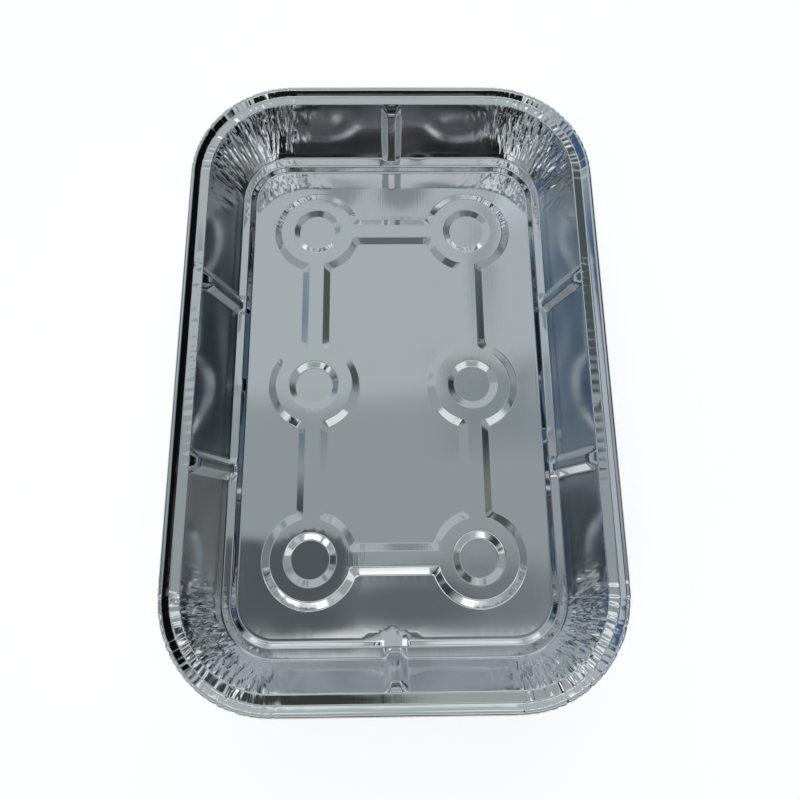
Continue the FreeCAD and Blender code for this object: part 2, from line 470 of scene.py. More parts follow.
@dataclass(frozen=True)
class RolledFoil:
    """Aluminium foil, cold rolled and then pressed: bright, with a faint grain along the rolling direction.

    The walls between the corners slid over the press, which left them a little duller. Their colour is also set darker
    there: painted shade, standing in for the dark reflections that the straight walls show.
    Rolling lines are finer than the render can show, so the grain is made 0.7 mm wide, as long soft streaks.
    Lengths are in millimetres, and the patches of uneven roughness are counted along one metre.
    """

    name: str = "rolled_aluminium_foil"
    colour: str = "#E6E8EA"
    # Darker colour of the straight walls: painted shade for their dark reflections, not a colour of the foil.
    wall_shade_colour: str = "#CFD2D5"
    roughness: float = 0.055
    rough_spread: float = 0.025
    rough_patches: float = 45.0
    wall_dulling: float = 0.1
    dulling_and_shade_from: float = 3.8
    dulling_and_shade_fully: float = 7.0
    dulling_and_shade_to: float = 40.3
    corner_along: float = 110.0
    corner_across: float = 57.0
    corner_fade: float = 9.0
    grain_width: float = 0.7
    grain_length: float = 26.0
    grain_rise: float = 16.0
    grain_height: float = 0.007
    anisotropy: float = 0.25

    def build(self) -> bpy.types.Material:
        """Makes the material.

        Returns:
            The foil's material.
        """
        material = bpy.data.materials.new(self.name)
        material.use_nodes = True
        tree = material.node_tree
        tree.nodes.clear()
        place = add_node(tree, "ShaderNodeTexCoord").outputs["Object"]
        stretch = tuple(1 / (size * MM) for size in (self.grain_width, self.grain_length, self.grain_rise))
        drawn_out = add_node(tree, "ShaderNodeVectorMath", {0: place, 1: stretch}, operation="MULTIPLY").outputs[0]
        grain = add_node(tree, "ShaderNodeTexNoise", {"Vector": drawn_out, "Scale": 1.0, "Detail": 2.0})
        patches = {"Vector": place, "Scale": self.rough_patches, "Detail": 3.0}
        cloud = add_node(tree, "ShaderNodeTexNoise", patches).outputs["Fac"]
        half = self.rough_spread / 2
        spread = {"Value": cloud, "From Min": 0.3, "From Max": 0.7}
        spread |= {"To Min": self.roughness - half, "To Max": self.roughness + half}
        rough = add_node(tree, "ShaderNodeMapRange", spread).outputs[0]
        dulling_and_shade = self.dulling_and_shade_share(tree, place)
        dulled = {0: dulling_and_shade, 1: self.wall_dulling, 2: rough}
        # The straight walls get the darker colour: painted shade. The same share also raises their roughness.
        shades = {0: dulling_and_shade, 6: linear(self.colour), 7: linear(self.wall_shade_colour)}
        bump = {"Height": grain.outputs["Fac"], "Strength": 1.0, "Distance": self.grain_height * MM}
        surface = {
            "Base Color": add_node(tree, "ShaderNodeMix", shades, data_type="RGBA").outputs[2],
            "Metallic": 1.0,
            "Roughness": add_node(tree, "ShaderNodeMath", dulled, operation="MULTIPLY_ADD").outputs[0],
            "Normal": add_node(tree, "ShaderNodeBump", bump).outputs[0],
            "Anisotropic": self.anisotropy,
        }
        shader = add_node(tree, "ShaderNodeBsdfPrincipled", surface)
        add_node(tree, "ShaderNodeOutputMaterial", {"Surface": shader.outputs[0]})
        return material

    def dulling_and_shade_share(self, tree: bpy.types.NodeTree, place: bpy.types.NodeSocket) -> bpy.types.NodeSocket:
        """Finds the walls between the corners: only there did the foil slide over the press and turn duller, and there
        its colour is darkened as painted shade.

        Args:
            tree: The material's tree.
            place: Object coordinates.

        Returns:
            A share from 0 on the floor, the rim and the pleated corners to 1 on the straight walls.
        """
        split = add_node(tree, "ShaderNodeSeparateXYZ", {0: place}).outputs
        beyond = []
        for socket, edge in ((split[0], self.corner_across), (split[1], self.corner_along)):
            outward = add_node(tree, "ShaderNodeMath", {0: socket}, operation="ABSOLUTE").outputs[0]
            beyond.append(add_node(tree, "ShaderNodeMath", {0: outward, 1: edge * MM}, operation="SUBTRACT").outputs[0])
        least = add_node(tree, "ShaderNodeMath", {0: beyond[0], 1: beyond[1]}, operation="MINIMUM").outputs[0]
        fade = {"Value": least, "From Max": self.corner_fade * MM, "To Min": 1.0, "To Max": 0.0}
        climb = {"Value": split[2], "From Min": self.dulling_and_shade_from * MM, "From Max": self.dulling_and_shade_fully * MM}
        share = add_node(tree, "ShaderNodeMapRange", climb).outputs[0]
        others = (
            add_node(tree, "ShaderNodeMath", {0: split[2], 1: self.dulling_and_shade_to * MM}, operation="LESS_THAN").outputs[0],
            add_node(tree, "ShaderNodeMapRange", fade).outputs[0],
        )
        for other in others:
            share = add_node(tree, "ShaderNodeMath", {0: share, 1: other}, operation="MULTIPLY").outputs[0]
        return share


@dataclass
class PleatPress:
    """Geometry Nodes that press the corner pleats, the rim's crimps and the crumples into the sheet.

    Widths, depths, sizes and the pleats' and crimps' sways are in millimetres, the scallops' sway is in radians,
    creases are shares of a fold, and scales count along one metre. Two slants of pleat are mixed in patches.
    """

    name: str = "pleat_press"
    pleat_width: float = 2.8
    pleat_depth: float = 0.95
    pleat_slant: float = 0.22
    crimp_width: float = 2.7
    crimp_depth: float = 0.4
    scallop_pitch: float = 4.9
    scallop_depth: float = 0.26
    crumple_size: float = 5.0
    crumple_depth: float = 0.55
    seed: float = 3.0
    pleat_crease: float = 0.22
    crimp_crease: float = 0.2
    fold_spread: float = 0.85
    fold_least: float = 0.25
    fold_tilt: float = 2.2
    fold_base: float = 0.3
    sway_scale: float = 120.0
    pleat_sway: float = 9.0
    crimp_sway: float = 6.0
    scallop_sway: float = 9.0
    patch_scale: float = 55.0
    patch_from: float = 0.47
    patch_to: float = 0.53

    def sizes(self) -> dict[str, float]:
        """The tree's inputs and their values, in metres."""
        return {
            "Pleat Width": self.pleat_width * MM,
            "Pleat Depth": self.pleat_depth * MM,
            "Pleat Slant": self.pleat_slant,
            "Crimp Width": self.crimp_width * MM,
            "Crimp Depth": self.crimp_depth * MM,
            "Scallop Pitch": self.scallop_pitch * MM,
            "Scallop Depth": self.scallop_depth * MM,
            "Crumple Size": self.crumple_size * MM,
            "Crumple Depth": self.crumple_depth * MM,
            "Seed": self.seed,
        }

    def folds(
        self, tree: bpy.types.NodeTree, along: bpy.types.NodeSocket, width: bpy.types.NodeSocket, crease: float
    ) -> bpy.types.NodeSocket:
        """Adds uneven folds: flat facets, each with its own tilt, parted by narrow creases.

        Args:
            tree: Tree that gets the nodes.
            along: Place across the folds, in metres.
            width: Mean width of a fold.
            crease: Share of a fold that its crease takes.

        Returns:
            Depth of the folds, about 0 to 1.
        """
        spot = add_node(tree, "ShaderNodeMath", {0: along, 1: width}, operation="DIVIDE").outputs[0]
        spread = {"W": spot, "Scale": 1.0, "Randomness": self.fold_spread}
        edge, cell = (
            add_node(tree, "ShaderNodeTexVoronoi", spread, voronoi_dimensions="1D", feature=feature).outputs
            for feature in ("DISTANCE_TO_EDGE", "F1")
        )
        chance = add_node(tree, "FunctionNodeSeparateColor", {"Color": cell["Color"]}).outputs
        dip = {"Value": edge["Distance"], "From Min": 0.0, "From Max": crease, "To Min": 1.0, "To Max": 0.0}
        valley = add_node(tree, "ShaderNodeMapRange", dip).outputs[0]
        depths = {"Value": chance[0], "To Min": self.fold_least, "To Max": 1.0}
        depth = add_node(tree, "ShaderNodeMapRange", depths).outputs[0]
        cut = add_node(tree, "ShaderNodeMath", {0: valley, 1: depth}, operation="MULTIPLY").outputs[0]
        offside = add_node(tree, "ShaderNodeMath", {0: spot, 1: cell["W"]}, operation="SUBTRACT").outputs[0]
        lean = add_node(tree, "ShaderNodeMath", {0: chance[1], 1: 0.5}, operation="SUBTRACT").outputs[0]
        raised = add_node(tree, "ShaderNodeMath", {0: offside, 1: lean}, operation="MULTIPLY").outputs[0]
        steps = (("MULTIPLY_ADD", {1: self.fold_tilt, 2: cut}), ("ADD", {1: self.fold_base}), ("MAXIMUM", {1: 0.0}))
        for operation, others in steps:
            raised = add_node(tree, "ShaderNodeMath", {0: raised} | others, operation=operation).outputs[0]
        return raised

    def build(self, foil: bpy.types.Material) -> bpy.types.GeometryNodeTree:
        """Makes the node tree.

        Args:
            foil: Material that the tree sets.

        Returns:
            The tree.
        """
        tree = bpy.data.node_groups.new(self.name, "GeometryNodeTree")
        face = tree.interface
        face.new_socket("Geometry", in_out="INPUT", socket_type="NodeSocketGeometry")
        for label in self.sizes():
            face.new_socket(label, in_out="INPUT", socket_type="NodeSocketFloat")
        face.new_socket("Geometry", in_out="OUTPUT", socket_type="NodeSocketGeometry")
        given = add_node(tree, "NodeGroupInput").outputs
        place = add_node(tree, "GeometryNodeInputPosition").outputs[0]
        split = add_node(tree, "ShaderNodeSeparateXYZ", {0: place}).outputs
        around, pleated, crimped, scalloped, crumpled = (
            add_node(tree, "GeometryNodeInputNamedAttribute", {"Name": name}, data_type="FLOAT").outputs[0]
            for name in PRESS_SHARES
        )
        way = add_node(tree, "GeometryNodeInputNamedAttribute", {"Name": PRESS_WAY}, data_type="FLOAT_VECTOR")

        noise = {"Vector": place, "W": given["Seed"], "Scale": self.sway_scale, "Detail": 2.0}
        sway = add_node(tree, "ShaderNodeTexNoise", noise, noise_dimensions="4D").outputs[0]
        swayed, slight = (
            add_node(tree, "ShaderNodeMath", {0: sway, 1: reach * MM, 2: around}, operation="MULTIPLY_ADD").outputs[0]
            for reach in (self.pleat_sway, self.crimp_sway)
        )
        slanted = {0: split[2], 1: given["Pleat Slant"]}
        drift = add_node(tree, "ShaderNodeMath", slanted, operation="MULTIPLY").outputs[0]
        forward, back = (
            add_node(tree, "ShaderNodeMath", {0: swayed, 1: drift}, operation=operation).outputs[0]
            for operation in ("ADD", "SUBTRACT")
        )
        leaning = self.folds(tree, forward, given["Pleat Width"], self.pleat_crease)
        crossing = self.folds(tree, back, given["Pleat Width"], self.pleat_crease)
        crimps = self.folds(tree, slight, given["Crimp Width"], self.crimp_crease)
        patch = add_node(tree, "ShaderNodeTexNoise", {"Vector": place, "Scale": self.patch_scale, "Detail": 0.0})
        parted = {"Value": patch.outputs[0], "From Min": self.patch_from, "From Max": self.patch_to}
        which = add_node(tree, "ShaderNodeMapRange", parted).outputs[0]
        pleats = add_node(tree, "ShaderNodeMix", {0: which, 2: leaning, 3: crossing}, data_type="FLOAT").outputs[0]

        turns = add_node(tree, "ShaderNodeMath", {0: split[1], 1: given["Scallop Pitch"]}, operation="DIVIDE")
        turns = add_node(tree, "ShaderNodeMath", {0: turns.outputs[0], 1: 2 * math.pi}, operation="MULTIPLY").outputs[0]
        swing = {0: sway, 1: self.scallop_sway, 2: turns}
        swing = add_node(tree, "ShaderNodeMath", swing, operation="MULTIPLY_ADD").outputs[0]
        wave = add_node(tree, "ShaderNodeMath", {0: swing}, operation="COSINE").outputs[0]
        scallops = add_node(tree, "ShaderNodeMath", {0: wave, 1: 0.5, 2: 0.5}, operation="MULTIPLY_ADD").outputs[0]

        finer = add_node(tree, "ShaderNodeMath", {0: 1.0, 1: given["Crumple Size"]}, operation="DIVIDE").outputs[0]
        noise = {"Vector": place, "W": given["Seed"], "Scale": finer, "Detail": 2.5, "Roughness": 0.5}
        crumple = add_node(tree, "ShaderNodeTexNoise", noise, noise_dimensions="4D").outputs[0]
        crumple = add_node(tree, "ShaderNodeMath", {0: crumple, 1: 0.5}, operation="SUBTRACT").outputs[0]
        total: float | bpy.types.NodeSocket = 0.0
        parts = (
            (pleats, given["Pleat Depth"], pleated),
            (crimps, given["Crimp Depth"], crimped),
            (scallops, given["Scallop Depth"], scalloped),
            (crumple, given["Crumple Depth"], crumpled),
        )
        for shape, depth, share in parts:
            sized = add_node(tree, "ShaderNodeMath", {0: shape, 1: depth}, operation="MULTIPLY").outputs[0]
            added = {0: sized, 1: share, 2: total}
            total = add_node(tree, "ShaderNodeMath", added, operation="MULTIPLY_ADD").outputs[0]
        push = add_node(tree, "ShaderNodeVectorMath", {0: way.outputs[0], "Scale": total}, operation="SCALE").outputs[0]
        moved = add_node(tree, "GeometryNodeSetPosition", {"Geometry": given["Geometry"], "Offset": push})
        real = add_node(tree, "GeometryNodeRealizeInstances", {0: moved.outputs[0]})
        dressed = add_node(tree, "GeometryNodeSetMaterial", {"Geometry": real.outputs[0], "Material": foil})
        add_node(tree, "NodeGroupOutput", {0: dressed.outputs[0]})
        return tree

    def fit(self, piece: bpy.types.Object, foil: bpy.types.Material) -> bpy.types.Modifier:
        """Puts the tree on a piece with its sizes.

        Args:
            piece: The sheet.
            foil: Its material.

        Returns:
            The modifier.
        """
        tree = self.build(foil)
        modifier = piece.modifiers.new(self.name, "NODES")
        modifier.node_group = tree
        values = self.sizes()
        for item in tree.interface.items_tree:
            if item.in_out == "INPUT" and item.name in values:
                modifier[item.identifier] = values[item.name]
        return modifier


@dataclass
class TraySheet:
    """The whole tray: one sheet of foil from the floor to the rolled edge.

    A swell is a gain, its lengths across and along the floor or along and up the wall, and where it starts.
    """

    name: str = "tray_sheet"
    foil_thickness: float = 0.3
    section: Section = field(default_factory=Section)
    columns: Columns = field(default_factory=Columns)
    relief: PadRelief = field(default_factory=PadRelief)
    press: PleatPress = field(default_factory=PleatPress)
    floor_half_width: float = 80.0
    floor_half_length: float = 133.0
    floor_step: float = 5.0
    floor_scatter: float = 0.6
    floor_seed: int = 7
    guide_room: float = 2.0
    edge_room: float = 3.2
    floor_wave: float = 0.16
    floor_wave_fade: float = 18.0
    floor_swell_span: float = 4.2
    floor_swells: tuple[tuple[float, ...], ...] = ((0.6, 13.0, -19.0, 2.0), (0.5, 37.0, 11.5, 0.0))
    wall_wave: float = 0.05
    wall_shift: float = 37.0
    wall_swells: tuple[tuple[float, ...], ...] = (
        (1.0, 9.5, 16.0, 0.0),
        (0.8, 5.3, -9.0, 1.7),
        (0.9, 21.0, 4.6, 0.6),
    )
    dent_sharpness: float = 2.2
    pleat_radius: float = 36.0
    pleat_fade: float = 17.0
    pleat_start: float = 0.02
    pleat_growth: float = 0.4
    crimp_fade: float = 5.0
    scallop_fade: float = 6.0
    scallop_run: float = 4.0
    corner_shift: float = 211.0
    near_gain: float = 0.75
    far_gain: float = 0.15
    crease_angle: float = 38.0
    normal_weight: int = 60
    ribs: tuple[Rib, ...] = (
        Rib(Side.RIGHT, -47.4),
        Rib(Side.RIGHT, 47.4),
        Rib(Side.FAR, 0.0),
        Rib(Side.LEFT, -47.4),
        Rib(Side.LEFT, 47.4),
        Rib(Side.NEAR, 0.0),
    )
    bows: tuple[Bow, ...] = (
        Bow(Side.FAR, -62.0, -4.0, 0.4),
        Bow(Side.FAR, 4.0, 62.0, 0.4),
        Bow(Side.NEAR, -62.0, -4.0, 0.25),
        Bow(Side.NEAR, 4.0, 62.0, 0.25),
        *(
            Bow(side, start, end, depth)
            for side in (Side.RIGHT, Side.LEFT)
            for start, end, depth in ((-114.0, -50.0, 0.12), (-44.0, 44.0, 0.15), (50.0, 114.0, 0.12))
        ),
    )
    dents: tuple[Dent, ...] = (
        Dent(86.4, 51.0, 3.7, (3.0, 2.6, 3.0), (0.2, 0.0, -0.7)),
        Dent(86.0, 43.6, 3.7, (3.0, 2.6, 3.0), (0.0, 0.0, 0.6)),
        Dent(86.4, -44.0, 3.7, (3.0, 2.6, 3.0), (0.2, 0.0, -0.7)),
        Dent(86.0, -51.2, 3.7, (3.0, 2.6, 3.0), (-0.4, 0.0, 0.5)),
        Dent(-86.4, 51.0, 3.7, (3.0, 2.6, 3.0), (-0.2, 0.0, -0.6)),
        Dent(-86.0, 43.8, 3.7, (3.0, 2.6, 3.0), (0.4, 0.0, 0.6)),
        Dent(-86.4, -43.6, 3.7, (3.0, 2.6, 3.0), (0.0, 0.0, 0.6)),
        Dent(-86.2, -51.0, 3.7, (3.0, 2.6, 3.0), (0.3, 0.0, -0.7)),
        Dent(-6.0, 139.5, 3.7, (3.0, 3.0, 3.0), (0.0, -0.5, -0.7)),
        Dent(4.5, 139.8, 3.7, (3.2, 3.0, 3.0), (0.0, -0.3, 0.5)),
        Dent(18.0, 142.5, 3.7, (2.2, 2.2, 4.0), (0.0, -0.9, 0.3)),
        Dent(-86.0, 0.0, 3.7, (3.0, 5.0, 3.0), (0.9, 0.0, 0.3)),
        Dent(85.0, -30.0, 2.5, (3.0, 4.0, 3.0), (-0.8, 0.0, 0.5)),
        Dent(-103.0, 54.0, 41.0, (4.0, 2.4, 3.0), (0.3, 0.0, -0.5)),
        Dent(102.0, 55.0, 41.0, (4.0, 2.4, 3.0), (-0.3, 0.0, -0.5)),
        Dent(102.0, -20.0, 41.0, (4.0, 2.0, 3.0), (-0.2, 0.0, -0.5)),
    )
    fold_place: float = -1.0
    fold_half_width: float = 10.0
    fold_reach: float = 6.5
    fold_grid_x: tuple[float, float] = (-14.0, 13.0)
    fold_grid_y: tuple[float, float] = (-133.4, -124.0)
    fold_grid_step: float = 1.1
    fold_end: float = -120.0
    pocket_depth: float = 1.7
    pocket_place: float = -0.8
    pocket_half_width: float = 5.6
    pocket_side_slope: float = 1.2
    pocket_near: float = -142.2
    pocket_far: float = -138.4
    pocket_end_slope: float = 1.0
    pocket_top: float = 8.0
    pocket_top_fade: float = 3.0

    def rib_press(self, grid: Grid, share: float) -> np.ndarray:
        """How far each column is pressed inwards by the ribs.

        Args:
            grid: The columns.
            share: Height on the wall, 0 at the foot and 1 at the top.

        Returns:
            One depth a column.
        """
        pressed = np.zeros(len(grid.along))
        names = list(Side)
        rise = self.section.wall_top.height - self.section.wall_foot.height
        for rib in self.ribs:
            here = (grid.side == names.index(rib.side)) & (grid.corner < 0)
            offside = np.abs(grid.along - rib.place)
            run = rib.half_width - rib.half_face
            shape = self.relief.ramp(rib.half_width - offside, run)
            cap = float(self.relief.ramp(np.array([(1 - share) * rise]), rib.cap_height)[0])
            pressed = np.where(here, np.maximum(pressed, rib.depth * shape * cap), pressed)
        return pressed

    def bow_press(self, grid: Grid, share: float) -> np.ndarray:
        """How far each column is bowed inwards at a height on the wall."""
        pressed = np.zeros(len(grid.along))
        names = list(Side)
        for bow in self.bows:
            here = (grid.side == names.index(bow.side)) & (grid.corner < 0)
            spot = np.clip((grid.along - bow.start) / (bow.end - bow.start), 0, 1)
            bowed = bow.depth * np.sin(np.pi * spot) ** 2 * np.sin(np.pi * share)
            pressed = np.where(here, pressed + bowed, pressed)
        return pressed

    def wall_wavy(self, grid: Grid, share: float) -> np.ndarray:
        """Gentle unevenness of the drawn walls, none at the foot and top."""
        rise = self.section.wall_top.height * share
        spot = grid.along + self.wall_shift * grid.side
        swell = sum(gain * np.sin(spot / along + rise / up + start) for gain, along, up, start in self.wall_swells)
        return np.where(grid.corner < 0, self.wall_wave * swell * math.sin(math.pi * share), 0.0)

    def floor_wavy(self, x: np.ndarray, y: np.ndarray) -> np.ndarray:
        """Gentle unevenness of the pressed floor, never below its plane."""
        swell = np.sin(x / 23.0 + 1.1) * np.sin(y / 31.0 + 0.4)
        for gain, across, along, start in self.floor_swells:
            swell = swell + gain * np.sin(x / across + y / along + start)
        ring = self.section.floor_edge
        edge = np.minimum(ring.half_width - np.abs(x), ring.half_length - np.abs(y))
        return self.floor_wave * (0.5 + swell / self.floor_swell_span) * np.clip(edge / self.floor_wave_fade, 0, 1)

    def dented(self, points: np.ndarray) -> np.ndarray:
        """Adds the dents that handling has left.

        Args:
            points: Points of the sheet.

        Returns:
            The points, moved.
        """
        moved = points.copy()
        for dent in self.dents:
            away = (points - np.array([dent.x, dent.y, dent.z])) / np.array(dent.reach)
            share = np.exp(-self.dent_sharpness * (away**2).sum(1))
            moved += share[:, None] * np.array(dent.push)
        return self.folded(moved)

    def folded(self, points: np.ndarray) -> np.ndarray:
        """Pushes the floor's edge into the floor below the near rib, and leaves a pocket in the ledge there.

        Args:
            points: Points of the sheet.

        Returns:
            The points, moved.
        """
        moved = points.copy()
        ledge, floor = self.section.ledge_edge, self.section.floor_edge
        offside = np.abs(points[:, 0] - self.fold_place) / self.fold_half_width
        reach = self.fold_reach * np.clip(1 - offside, 0, 1)
        run = ledge.half_length - floor.half_length + reach
        climb = np.clip(1 - (points[:, 1] + ledge.half_length) / run, 0, 1)
        height = floor.height + (ledge.height - floor.height) * climb
        on_slope = (points[:, 1] > -ledge.half_length - 0.1) & (points[:, 1] < self.fold_end) & (offside < 1)
        moved[:, 2] = np.where(on_slope, np.maximum(moved[:, 2], height), moved[:, 2])
        pocket = np.full(len(points), self.pocket_depth)
        for room, slope in (
            (self.pocket_half_width - np.abs(points[:, 0] - self.pocket_place), self.pocket_side_slope),
            (points[:, 1] - self.pocket_near, self.pocket_end_slope),
            (self.pocket_far - points[:, 1], self.pocket_end_slope),
            (self.pocket_top - points[:, 2], self.pocket_top_fade),
        ):
            pocket *= np.clip(room / slope, 0, 1)
        moved[:, 2] -= pocket
        return moved

    def walls(self, grid: Grid) -> dict[str, np.ndarray]:
        """Lays out every row above the floor.

        Args:
            grid: The columns.

        Returns:
            Points and the values that the press reads, row after row.
        """
        rows, zones = self.section.rows()
        foot, top = self.section.wall_foot.height, self.section.wall_top.height
        along = self.around(grid)
        overshoot = np.maximum(np.maximum(-along[1], along[1] - along[2]), 0)
        pleated = np.clip(1 - overshoot / self.pleat_fade, 0, 1) * along[3]
        crimped = np.clip(1 - overshoot / self.crimp_fade, 0, 1) * along[3]
        lists: dict[str, list[np.ndarray]] = {key: [] for key in ("points", PRESS_WAY, *PRESS_SHARES)}
        sides = (grid.corner < 0) & np.isin(grid.side, [0, 2])
        reach = self.columns.scallop_reach
        scalloped = np.clip((reach - np.abs(grid.along)) / self.scallop_fade, 0, 1) * sides
        flange_width = self.section.flange_edge.half_width
        for ring, zone in zip(rows, zones):
            plan, outward = grid.places(ring)
            share = float(np.clip((ring[3] - foot) / (top - foot), 0, 1))
            none = np.zeros(len(plan))
            inward = none
            depth = 0.0
            if zone is Zone.WALL:
                inward = self.rib_press(grid, share) + self.bow_press(grid, share) + self.wall_wavy(grid, share)
                depth = float(np.clip((share - self.pleat_start) / self.pleat_growth, 0, 1))
            plan = plan - outward * inward[:, None]
            level = np.tile([0.0, 0.0, 1.0], (len(plan), 1))
            middle = flange_width + self.section.roll_run
            curl = np.array([middle - ring[0], self.section.roll_height - ring[3]]) / self.section.roll_radius
            ways = {
                Zone.LEDGE: level,
                Zone.WALL: np.column_stack([-outward, none]),
                Zone.FLANGE: -level,
                Zone.ROLL: np.column_stack([outward * curl[0], np.full(len(plan), curl[1])]),
            }
            gain = 1 + np.where(plan[:, 1] < 0, self.near_gain, self.far_gain)
            spread, corner = zone.value
            across = float(np.clip((flange_width - ring[0]) / self.scallop_run, 0, 1))
            row = {
                "points": np.column_stack([plan, np.full(len(plan), ring[3])]),
                PRESS_WAY: ways[zone],
                "around": along[0] * MM,
                "pleat_share": pleated * depth * gain,
                "crimp_share": crimped if zone in (Zone.FLANGE, Zone.ROLL) else none,
                "scallop_share": scalloped * across if zone is Zone.FLANGE else none,
                "crumple_share": spread + pleated * corner * (depth if zone is Zone.WALL else 1.0),
            }
            for key, values in row.items():
                lists[key].append(values)
        return {key: np.concatenate(value) for key, value in lists.items()}

    def around(self, grid: Grid) -> tuple[np.ndarray, np.ndarray, float, np.ndarray]:
        """Place of each column across the pleats of its nearest corner.

        Args:
            grid: The columns.

        Returns:
            Place with an offset of its own for each corner, place from the corner's start, the
            corner's length, and 1 where the column is near a corner, else 0.
        """
        length = self.pleat_radius * math.pi / 2
        local = np.zeros(len(grid.along))
        number = np.zeros(len(grid.along))
        near = np.zeros(len(grid.along))
        for k, name in enumerate(Side):
            straight = self.columns.end_straight if name.is_end else self.columns.side_straight
            on_wall = (grid.side == k) & (grid.corner < 0)
            ahead = on_wall & (grid.along > 0)
            behind = on_wall & (grid.along <= 0)
            local[ahead] = grid.along[ahead] - straight
            number[ahead] = k
            local[behind] = length + grid.along[behind] + straight
            number[behind] = (k - 1) % 4
            on_corner = grid.corner == k
            local[on_corner] = grid.along[on_corner] * length
            number[on_corner] = k
            near[on_corner] = 1
        near = np.where((local > -self.columns.pleat_reach) & (local < length + self.columns.pleat_reach), 1.0, near)
        return local + self.corner_shift * number, local, length, near

    def floor_mesh(self, rim: np.ndarray) -> tuple[np.ndarray, list[list[int]]]:
        """Triangulates the floor inside the first row of the walls.

        Args:
            rim: Points of that row in plan.

        Returns:
            New inner points in plan, and triangles whose numbers count the rim first.
        """
        rng = np.random.default_rng(self.floor_seed)
        xs = np.arange(-self.floor_half_width, self.floor_half_width + 0.1, self.floor_step)
        ys = np.arange(-self.floor_half_length, self.floor_half_length + 0.1, self.floor_step)
        loose = np.array([(x + (self.floor_step / 2 if k % 2 else 0), y) for k, y in enumerate(ys) for x in xs])
        loose += rng.uniform(-self.floor_scatter, self.floor_scatter, loose.shape)
        fine = [np.arange(*ends, self.fold_grid_step) for ends in (self.fold_grid_x, self.fold_grid_y)]
        inner = np.concatenate([self.relief.guides(), np.stack(np.meshgrid(*fine), -1).reshape(-1, 2)])
        apart = np.abs(loose[:, None, :] - inner[None, :, :]).max(2).min(1)
        inner = np.concatenate([inner, loose[apart > self.guide_room]])
        ring = self.section.floor_edge
        width, length = ring.half_width - self.edge_room, ring.half_length - self.edge_room
        radius = ring.corner_radius - self.edge_room
        corner = np.maximum(np.abs(inner) - [width - radius, length - radius], 0)
        inside = (np.hypot(corner[:, 0], corner[:, 1]) <= radius) & (np.abs(inner[:, 0]) < width)
        inner = inner[inside & (np.abs(inner[:, 1]) < length)]
        points = [Vector(point) for point in np.concatenate([rim, inner])]
        edges = [(k, (k + 1) % len(rim)) for k in range(len(rim))]
        _, _, faces, sources, _, _ = delaunay_2d_cdt(points, edges, [], KEEP_INSIDE, MERGE_DISTANCE)
        origin = {k: source[0] for k, source in enumerate(sources) if source}
        triangles = [[origin[v] for v in face] for face in faces if all(v in origin for v in face)]
        return inner, triangles

    def build(self, foil: bpy.types.Material) -> bpy.types.Object:
        """Makes the finished sheet.

        Args:
            foil: Its material.

        Returns:
            The tray.
        """
        grid = self.columns.build()
        wall = self.walls(grid)
        count = len(grid.along)
        rows = len(wall["points"]) // count
        rim = wall["points"][:count, :2]
        inner, triangles = self.floor_mesh(rim)
        rise = self.relief.rise(inner[:, 0], inner[:, 1]) + self.floor_wavy(inner[:, 0], inner[:, 1])
        floor = np.column_stack([inner, self.foil_thickness + rise])
        points = self.dented(np.concatenate([wall["points"], floor]))
        extra = len(floor)
        offset = rows * count - count
        faces: list[list[int]] = [[v if v < count else v + offset for v in face] for face in triangles]
        for row in range(rows - 1):
            base = row * count
            faces += [
                [base + k, base + count + k, base + count + (k + 1) % count, base + (k + 1) % count]
                for k in range(count)
            ]
        mesh = bpy.data.meshes.new(self.name)
        mesh.from_pydata((points * MM).tolist(), [], faces)
        up = np.tile([0.0, 0.0, 1.0], (extra, 1))
        for name in PRESS_SHARES:
            self.attribute(mesh, name, "FLOAT", "value", np.concatenate([wall[name], np.zeros(extra)]))
        self.attribute(mesh, PRESS_WAY, "FLOAT_VECTOR", "vector", np.concatenate([wall[PRESS_WAY], up]))
        draft = set_out(self.name + "_draft", mesh)
        self.press.fit(draft, foil)
        thick = draft.modifiers.new("foil_thickness", "SOLIDIFY")
        thick.thickness = self.foil_thickness * MM
        thick.offset = -1.0
        return self.settle(draft, foil)

    def attribute(self, mesh: bpy.types.Mesh, name: str, kind: str, field_name: str, values: np.ndarray) -> None:
        """Stores a value for each point on a mesh.

        Args:
            mesh: Mesh that gets them.
            name: Name of the attribute.
            kind: Blender's name of its type.
            field_name: Blender's name of the field that holds one value.
            values: The values.
        """
        layer = mesh.attributes.new(name, kind, "POINT")
        layer.data.foreach_set(field_name, values.astype(np.float32).ravel())

    def keep_in_box(self, mesh: bpy.types.Mesh) -> None:
        """Holds folds that stand proud of the rim back to the tray's outer size.

        Args:
            mesh: The finished mesh, changed in place.
        """
        section = self.section
        beyond = section.roll_run + section.roll_radius
        across = section.flange_edge.half_width + beyond
        along = section.flange_edge.half_length + beyond
        high = section.roll_height + section.roll_radius
        points = np.empty(len(mesh.vertices) * 3, dtype=np.float32)
        mesh.vertices.foreach_get("co", points)
        points = points.reshape(-1, 3)
        low_corner = np.array([-across, -along, 0.0]) * MM
        high_corner = np.array([across, along, high]) * MM
        mesh.vertices.foreach_set("co", np.clip(points, low_corner, high_corner).astype(np.float32).ravel())
        mesh.update()

